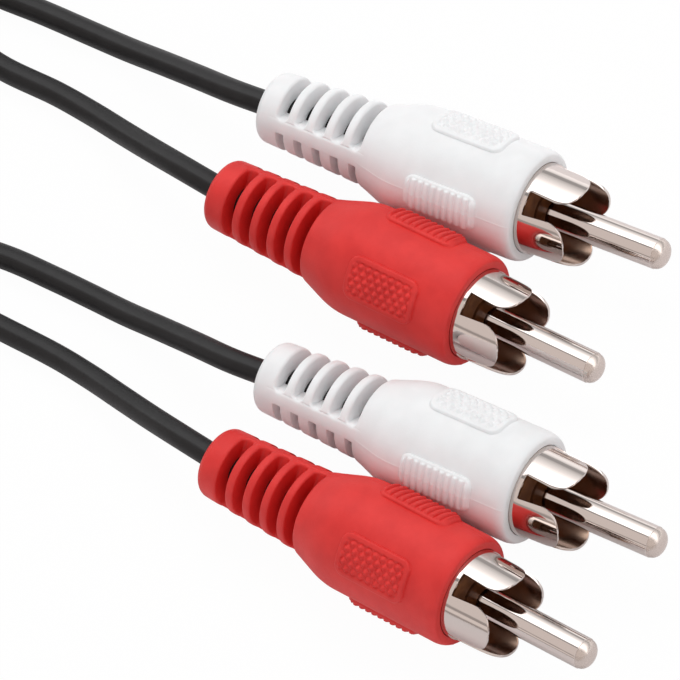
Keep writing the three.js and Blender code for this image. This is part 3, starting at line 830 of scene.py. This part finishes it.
def body_profile(x):
    """The moulded body's radius at x, without its slots and pads."""
    relief_slope = (RELIEF_FRONT_RADIUS - RELIEF_REAR_RADIUS) / (RELIEF_LENGTH - REAR_ROUND)
    cone_slope = (BODY_RADIUS - RELIEF_FRONT_RADIUS) / CONE_LENGTH
    radius = RELIEF_REAR_RADIUS + relief_slope * (x - REAR - REAR_ROUND)
    radius = radius + (cone_slope - relief_slope) * rounded_ramp(x, FOOT, FOOT_BLEND)
    radius = radius - cone_slope * rounded_ramp(x, SHOULDER, SHOULDER_BLEND)
    rear_share = np.clip((REAR + REAR_ROUND - x) / REAR_ROUND, 0, 1)
    radius = radius - REAR_ROUND * (1 - np.sqrt(1 - rear_share ** 2))
    front_share = np.clip((x + FRONT_ROUND) / FRONT_ROUND, 0, 1)
    return radius - (BODY_RADIUS - FRONT_FACE_RADIUS) * (1 - np.sqrt(1 - front_share ** 2))


def rounded_rectangle(along, across, half_length, half_width, corner):
    """Signed distance to a rounded rectangle's outline: negative inside it."""
    qx = np.abs(along) - (half_length - corner)
    qy = np.abs(across) - (half_width - corner)
    outside = np.sqrt(np.maximum(qx, 0) ** 2 + np.maximum(qy, 0) ** 2)
    return outside + np.minimum(np.maximum(qx, qy), 0) - corner


def round_rise(depth, edge):
    """0 to 1 over an edge, as a quarter round that starts steeply."""
    share = np.clip(depth / edge, 0, 1)
    return np.sqrt(1 - (1 - share) ** 2)


def soft_step(depth, start, width):
    share = np.clip((depth - start) / width, 0, 1)
    return share * share * (3 - 2 * share)


def pad_place(x, off_pad, width):
    """Where a point is along and across a pad of that width, and how deep inside its outline."""
    along = x + PAD_SETBACK + PAD_LENGTH / 2
    across = BODY_RADIUS * np.sin(off_pad)
    return along, across, -rounded_rectangle(along, across, PAD_LENGTH / 2, width / 2, PAD_CORNER)


def knurled_rise(x, off_knurl):
    """A plate with a raised border round staggered cones."""
    along, across, depth = pad_place(x, off_knurl, KNURLED_PAD_WIDTH)
    cell_x = (PAD_LENGTH - 2 * KNURL_BORDER) / KNURL_COLUMNS
    cell_y = (KNURLED_PAD_WIDTH - 2 * KNURL_BORDER) / KNURL_ROWS
    rise = np.zeros(np.broadcast(along, across).shape)
    for shift in (0.0, 0.5):
        u = (along / cell_x + shift + 0.5) % 1 - 0.5
        v = (across / cell_y + 2 * shift) / 2
        v = v - np.round(v)
        away = np.sqrt((u * cell_x) ** 2 + (2 * v * cell_y) ** 2)
        rise = np.maximum(rise, np.clip(KNURL_PEAK - KNURL_FALL * away, 0, 1))
    inside = KNURL_FLOOR + (KNURL_HEIGHT - KNURL_FLOOR) * rise
    blend = soft_step(depth, KNURL_BORDER, KNURL_SLOPE)
    height = round_rise(depth, PAD_EDGE) * (KNURL_RIM + (inside - KNURL_RIM) * blend)
    return np.where(depth > 0, height, 0.0)


def ribbed_rise(x, off_rib):
    """Ribs across a low plate, which shows as a smooth lip along both sides."""
    along, _, depth = pad_place(x, off_rib, RIBBED_PAD_WIDTH)
    wave = 0.5 - 0.5 * np.cos(2 * np.pi * (along / PAD_LENGTH + 0.5) * RIB_COUNT)
    crest = soft_step(wave, RIB_CREST_START, RIB_CREST_BLEND)
    height = RIB_FLOOR * round_rise(depth, PAD_EDGE)
    height = height + (RIB_HEIGHT - RIB_FLOOR) * crest * soft_step(depth, RIB_INSET, PAD_EDGE)
    return np.where(depth > 0, height, 0.0)


def pad_rise(x, off_knurl):
    """How far the grip pads stand out; off_knurl is the angle from the nearer knurled pad's middle."""
    return knurled_rise(x, off_knurl) + ribbed_rise(x, np.pi / 2 - off_knurl)


def slot_middle(slot):
    return FOOT + SLOT_SETBACK - SLOT_CENTRE - slot * SLOT_PITCH


def body_columns():
    """The body's rings from front to rear: (x, side, share of the slot's half width, edge share, inside)."""
    pad_rear = -PAD_SETBACK - PAD_LENGTH
    rounding = [1 - math.sin(math.pi / 2 * k / ROUND_ROWS) for k in range(ROUND_ROWS + 1)]
    plain = [-FRONT_ROUND * share for share in reversed(rounding)]
    plain += list(np.linspace(-FRONT_ROUND, -PAD_SETBACK + PAD_GAP, FRONT_ROWS)[1:])
    plain += list(np.linspace(-PAD_SETBACK, pad_rear, round(PAD_LENGTH / PAD_STEP) + 1))
    plain += list(np.linspace(pad_rear - PAD_GAP, FOOT + SLOT_SETBACK + CONE_ROWS_END, CONE_ROWS))
    columns = [(x, 0, 0, 0, False) for x in plain]
    for slot in range(SLOT_COUNT):
        middle = slot_middle(slot)
        columns += [(middle, 1, 1, share, False) for share in SLOT_EDGE_SHARES]
        columns += [(middle, 1, share, 0, True) for share in SLOT_FLOOR_SHARES]
        columns += [(middle, -1, share, 0, True) for share in reversed(SLOT_FLOOR_SHARES)]
        columns += [(middle, -1, 1, share, False) for share in reversed(SLOT_EDGE_SHARES)]
    last = middle - OPEN_SLOT["width"] / 2 - OPEN_SLOT["edge"]
    columns += [(x, 0, 0, 0, False) for x in np.linspace(last, REAR + REAR_ROUND, REAR_ROWS)[1:]]
    columns += [(REAR + REAR_ROUND * share, 0, 0, 0, False) for share in rounding[1:]]
    return columns


def pad_edge_lines(width):
    """Half a pad's width in degrees, and the lines close together at its edge."""
    half = math.degrees(math.asin(width / 2 / BODY_RADIUS))
    return half, [half + off for off in PAD_EDGE_LINES]


def lines_between(first, last):
    """Lines between two others, about SLOT_LINE_STEP apart."""
    return list(np.linspace(first, last, max(2, round((last - first) / SLOT_LINE_STEP)))[1:-1])


def quadrant_angles(slot_end):
    """Degrees from a knurled pad's middle to a ribbed pad's middle, which lies in the parting plane."""
    half, edge = pad_edge_lines(KNURLED_PAD_WIDTH)
    lines = list(np.linspace(0, half - KNURL_LINES_END, KNURL_LINES)) + edge
    half, edge = pad_edge_lines(RIBBED_PAD_WIDTH)
    lines += list(np.linspace(GAP_LINES_REACH[0], GAP_LINES_REACH[1] - half, GAP_LINES))
    lines += [90 - a for a in reversed(edge)]
    slot_lines = [slot_end + off for off in SLOT_END_LINES]
    clear_from, clear_to = slot_lines[0] - SLOT_LINE_CLEAR, slot_lines[-1] + SLOT_LINE_CLEAR
    lines = [a for a in lines if a < clear_from or a > clear_to]
    lines += lines_between(90 - edge[0], slot_lines[0]) + slot_lines
    lines += lines_between(slot_lines[-1], PARTING_LINES[0]) + list(PARTING_LINES)
    return sorted(set(lines))


def body_angles():
    """The body's lines round its axis in radians, and where the slots end at each of them."""
    quadrants = [quadrant_angles(end) for end in SLOT_ENDS]
    lines, ends = [], []
    for k, quadrant in enumerate(quadrants):
        turned = quadrant if k % 2 == 0 else [90 - a for a in reversed(quadrant)]
        for angle in turned[:-1]:
            lines.append(90 * k + angle)
            ends.append(SLOT_ENDS[k])
    return np.radians(np.array(lines)), np.radians(np.array(ends))


def blend_sides(angles, open_value, square_value):
    """A slot measure at each angle: square slots at +Y, open ones at -Y, blended within SIDE_BLEND degrees."""
    off_parting = np.arcsin(np.clip(np.cos(angles), -1, 1))
    square = soft_step(off_parting, -math.radians(SIDE_BLEND), 2 * math.radians(SIDE_BLEND))
    return open_value + (square_value - open_value) * square


def slot_ends(angles, ends, radius):
    """Half the slot's width at each line; it narrows to the rounded corners at the slot's two ends."""
    off_knurl = np.arccos(np.clip(np.abs(np.cos(angles)), 0, 1))
    halves = []
    for kind in (OPEN_SLOT, SQUARE_SLOT):
        fall = np.clip((radius * (off_knurl - ends) + kind["end_round"]) / kind["end_round"], 0, 1)
        halves.append(kind["width"] / 2 - kind["end_round"] * (1 - np.sqrt(1 - fall ** 2)))
    return blend_sides(angles, *halves)


def overmould_mesh():
    """The moulded body as a closed shell. Its slots open into its bore."""
    columns = body_columns()
    angles, ends = body_angles()
    base, side, share, edge_share, inside = (np.array(c, float)[:, None] for c in zip(*columns))
    off_knurl = np.arccos(np.clip(np.abs(np.cos(angles)), 0, 1))[None, :]
    edge = blend_sides(angles, OPEN_SLOT["edge"], SQUARE_SLOT["edge"])[None, :]
    half_slot = slot_ends(angles, ends, body_profile(base))
    x = base + side * (share * half_slot + edge_share * edge)
    radius = body_profile(x)
    nearest = np.full(x.shape, 1e3)
    is_square = np.cos(angles)[None, :] > 0
    along_slot = body_profile(base) * off_knurl
    slot_reach = body_profile(base) * ends[None, :]
    for slot in range(SLOT_COUNT):
        for kind, here in ((SQUARE_SLOT, is_square), (OPEN_SLOT, ~is_square)):
            off_middle = x - slot_middle(slot)
            gap = rounded_rectangle(off_middle, along_slot, kind["width"] / 2, slot_reach, kind["end_round"])
            nearest = np.where(here, np.minimum(nearest, gap), nearest)
    near = np.clip((edge - np.maximum(nearest, 0)) / edge, 0, 1)
    rounding = edge * (1 - np.sqrt(1 - near ** 2))
    skin = radius - rounding + pad_rise(x, off_knurl)
    parting = np.exp(-(((np.pi / 2 - off_knurl) * BODY_RADIUS / PARTING_WIDTH) ** 2))
    skin = skin + PARTING_HEIGHT * parting * soft_step(x, FOOT, SHOULDER_BLEND)
    floor = radius * np.cos(ends)[None, :] / np.maximum(np.cos(off_knurl), 1e-6)
    ends_early = ends[None, :] < math.radians(EARLY_SLOT_END)
    wall_foot = math.radians(SLOT_WALL_FOOT)
    wall_share = np.clip((off_knurl - wall_foot) / (ends[None, :] - wall_foot), 0, 1)
    wall = (BORE_RADIUS - SLOT_WALL_SINK) + (radius - BORE_RADIUS + SLOT_WALL_SINK) * wall_share
    floor = np.minimum(np.where(ends_early, wall, floor), radius - edge)
    in_slot = (inside > 0) & (off_knurl < ends[None, :])
    opened = in_slot & (floor < BORE_RADIUS)
    skin = np.where(in_slot, np.maximum(floor, BORE_RADIUS), skin)
    return shell_from_grid(x, skin, opened, angles)


def shell_from_grid(x, skin, opened, angles):
    """Vertices and faces of the body: its skin, front face, sleeve, pocket, bore and rear face."""
    rows, count = skin.shape
    x = np.broadcast_to(x, skin.shape)
    cos, sin = np.cos(angles), np.sin(angles)
    rings = [np.stack([x[row], skin[row] * cos, skin[row] * sin], axis=1) for row in range(rows)]
    first_bore = next(row for row in range(rows) if x[row].max() < FOOT + SLOT_SETBACK + BORE_START)
    bore_rows = list(range(rows - 1, first_bore - 1, -1))
    for row in bore_rows:
        widening = soft_step(x[row], REAR, BORE_MOUTH_DEPTH)
        bore = BORE_MOUTH_RADIUS + (BORE_RADIUS - BORE_MOUTH_RADIUS) * widening
        rings.append(np.stack([x[row], bore * cos, bore * sin], axis=1))
    pocket_front = -SLEEVE_DEPTH - POCKET_GAP
    for place, radius in ((POCKET_REAR, POCKET_RADIUS), (pocket_front, POCKET_RADIUS),
                          (pocket_front, SLEEVE_RADIUS), (0.0, SLEEVE_RADIUS)):
        rings.append(np.stack([np.full(count, place), radius * cos, radius * sin], axis=1))
    vertices = np.concatenate(rings) * MM
    is_open = np.zeros((len(rings), count), bool)
    is_open[:rows] = opened
    for k, row in enumerate(bore_rows):
        is_open[rows + k] = opened[row]
    faces = []
    total = len(rings)
    for ring in range(total):
        after = (ring + 1) % total
        for k in range(count):
            right = (k + 1) % count
            corners = ((ring, k), (ring, right), (after, right), (after, k))
            if all(is_open[r, c] for r, c in corners):
                continue
            faces.append(tuple(r * count + c for r, c in corners))
    return vertices, faces


OVERMOULD = overmould_mesh()


def add_plug(end):
    colour = end.split("_")[1]
    body_turn, collar_turn = TURNS[colour]
    body_place = PLUG_FRAMES[end] @ Matrix.Rotation(-math.radians(body_turn), 4, "X")
    collar_place = PLUG_FRAMES[end] @ Matrix.Rotation(-math.radians(collar_turn), 4, "X")
    vertices, faces = OVERMOULD
    body = new_piece(f"body_{end}", vertices, faces, MATERIALS[f"{colour}_pvc"], body_place)
    finish_mesh(body, sharp=BODY_SHARP_ANGLE)
    # Weighted by area, or the thin faces at the slots' ends show as a crease
    shading = body.modifiers.new("shading", "WEIGHTED_NORMAL")
    shading.keep_sharp = True
    ride(body, f"{colour}_pvc", f"end_{end}_overmould")
    collar = add_collar(f"collar_{end}", collar_place, MATERIALS["nickel"], MATERIALS["nickel_inside"])
    ride(collar, "nickel", f"end_{end}_ground_shell")
    pin = lathe(f"pin_{end}", pin_profile(), PIN_FACETS, MATERIALS["nickel"], collar_place,
                nose_material=MATERIALS["nickel_nose"])
    ride(pin, "nickel", f"end_{end}_centre_pin")
    bush = lathe(f"bush_{end}", insulator_profile(), PIN_FACETS, MATERIALS["bush"], collar_place, hollow=True)
    ride(bush, "bush", f"end_{end}_insulator")
    jacket = lathe(f"lead_in_{end}", lead_end_profile(), JACKET_FACETS, MATERIALS["jacket"], body_place)
    ride(jacket, "jacket", f"end_{end}_lead_end")


# Studio


def ray_share(nodes, links, *outputs):
    """1 for the kinds of ray that are named, and 0 for the others."""
    path = nodes.new("ShaderNodeLightPath")
    total = path.outputs[outputs[0]]
    for name in outputs[1:]:
        added = nodes.new("ShaderNodeMath")
        added.operation = "ADD"
        added.use_clamp = True
        links.new(total, added.inputs[0])
        links.new(path.outputs[name], added.inputs[1])
        total = added.outputs[0]
    return total


def add_floor():
    mesh = bpy.data.meshes.new("floor")
    corners = [(x * FLOOR_REACH, y * FLOOR_REACH, 0) for x, y in ((-1, -1), (1, -1), (1, 1), (-1, 1))]
    mesh.from_pydata(corners, [], [(0, 1, 2, 3)])
    floor = new_object("floor", mesh)
    material = bpy.data.materials.new("floor")
    material.use_nodes = True
    nodes, links = material.node_tree.nodes, material.node_tree.links
    shader = nodes["Principled BSDF"]
    shader.inputs["Base Color"].default_value = FLOOR_COLOUR
    shader.inputs["Roughness"].default_value = FLOOR_ROUGHNESS
    place = nodes.new("ShaderNodeTexCoord")
    parts = nodes.new("ShaderNodeSeparateXYZ")
    links.new(place.outputs["Object"], parts.inputs["Vector"])
    fade = nodes.new("ShaderNodeMapRange")
    fade.inputs["From Min"].default_value, fade.inputs["From Max"].default_value = FLOOR_FADE
    fade.inputs["To Min"].default_value = FLOOR_NEAR_LEVEL
    fade.inputs["To Max"].default_value = FLOOR_FAR_LEVEL
    links.new(parts.outputs["Y"], fade.inputs["Value"])
    seen_white = nodes.new("ShaderNodeEmission")
    mirrored = nodes.new("ShaderNodeEmission")
    links.new(fade.outputs["Result"], mirrored.inputs["Strength"])
    plain = mix_shaders(nodes, links, FLOOR_WHITE, ray_share(nodes, links, *SEEN_RAYS),
                        shader.outputs[0], seen_white.outputs[0])
    both = mix_shaders(nodes, links, FLOOR_MIRRORED, ray_share(nodes, links, "Is Glossy Ray"),
                       plain, mirrored.outputs[0])
    links.new(both, nodes["Material Output"].inputs["Surface"])
    mesh.materials.append(material)


def mix_shaders(nodes, links, share, rays, first, second):
    """The first shader, with that share of the second for those rays."""
    part = nodes.new("ShaderNodeMath")
    part.operation = "MULTIPLY"
    part.inputs[1].default_value = share
    links.new(rays, part.inputs[0])
    mix = nodes.new("ShaderNodeMixShader")
    links.new(part.outputs[0], mix.inputs["Fac"])
    links.new(first, mix.inputs[1])
    links.new(second, mix.inputs[2])
    return mix.outputs[0]


def add_world():
    """Soft light all round, white to the camera. Metal mirrors long soft boxes with dark gaps."""
    world = bpy.data.worlds.new("studio")
    bpy.context.scene.world = world
    world.use_nodes = True
    nodes, links = world.node_tree.nodes, world.node_tree.links
    white = nodes["Background"]
    white.inputs["Color"].default_value = (1, 1, 1, 1)
    direction = nodes.new("ShaderNodeTexCoord")
    parts = nodes.new("ShaderNodeSeparateXYZ")
    links.new(direction.outputs["Generated"], parts.inputs["Vector"])
    angle = nodes.new("ShaderNodeMath")
    angle.operation = "ARCTAN2"
    links.new(parts.outputs["Z"], angle.inputs[0])
    links.new(parts.outputs["Y"], angle.inputs[1])
    share = nodes.new("ShaderNodeMath")
    share.operation = "DIVIDE"
    share.inputs[1].default_value = math.pi
    share.use_clamp = True
    links.new(angle.outputs[0], share.inputs[0])
    soft = light_ramp(nodes, links, share.outputs[0], SOFT_LIGHT, WHITE)
    mirrored = light_ramp(nodes, links, share.outputs[0], STRIP_LIGHTS, NEAR_TINT)
    lit = mix_shaders(nodes, links, 1.0, ray_share(nodes, links, "Is Glossy Ray"), soft, mirrored)
    seen = mix_shaders(nodes, links, 1.0, ray_share(nodes, links, *SEEN_RAYS), lit, white.outputs[0])
    links.new(seen, nodes["World Output"].inputs["Surface"])


def light_ramp(nodes, links, share, levels, near_tint):
    """Light whose level goes with the direction round the X axis. Its near side has a tint of its own."""
    levels_ramp = nodes.new("ShaderNodeValToRGB")
    stops = levels_ramp.color_ramp.elements
    brightest = max(level for _, level in levels)
    for k, (degrees, level) in enumerate(levels):
        stop = stops[k] if k < 2 else stops.new(1.0)
        stop.position = degrees / 180
        tint = near_tint if degrees > NEAR_SIDE else WHITE
        stop.color = tuple(level / brightest * part for part in tint) + (1.0,)
    links.new(share, levels_ramp.inputs["Fac"])
    light = nodes.new("ShaderNodeBackground")
    light.inputs["Strength"].default_value = brightest
    links.new(levels_ramp.outputs["Color"], light.inputs["Color"])
    return light.outputs[0]


def add_lamp(name, place, size, power):
    data = bpy.data.lights.new(name, "AREA")
    data.energy = power
    data.size = size
    lamp = new_object(name, data)
    lamp.location = CAMERA_TARGET + Vector(place)
    lamp.rotation_euler = (-Vector(place)).to_track_quat("-Z", "Y").to_euler()
    lamp.visible_glossy = False


add_camera()
for lead_end in ENDS:
    add_lead(lead_end)
trunk_route = smooth_route(TRUNK_START + coil_route() + TRUNK_END, 2 * CORD_STEP)
add_trunk(trunk_route, add_tie(trunk_route))
for plug_end in ENDS:
    add_plug(plug_end)

for row in frame["record"]["subparts"]:
    carried = frame["nodes"][row["node"]]
    carried.data.materials.clear()
    carried.data.materials.append(MATERIALS[row["material_slot"]])

add_floor()
add_world()
for lamp_settings in LAMPS:
    add_lamp(*lamp_settings)
bpy.context.scene.view_settings.view_transform = "Standard"
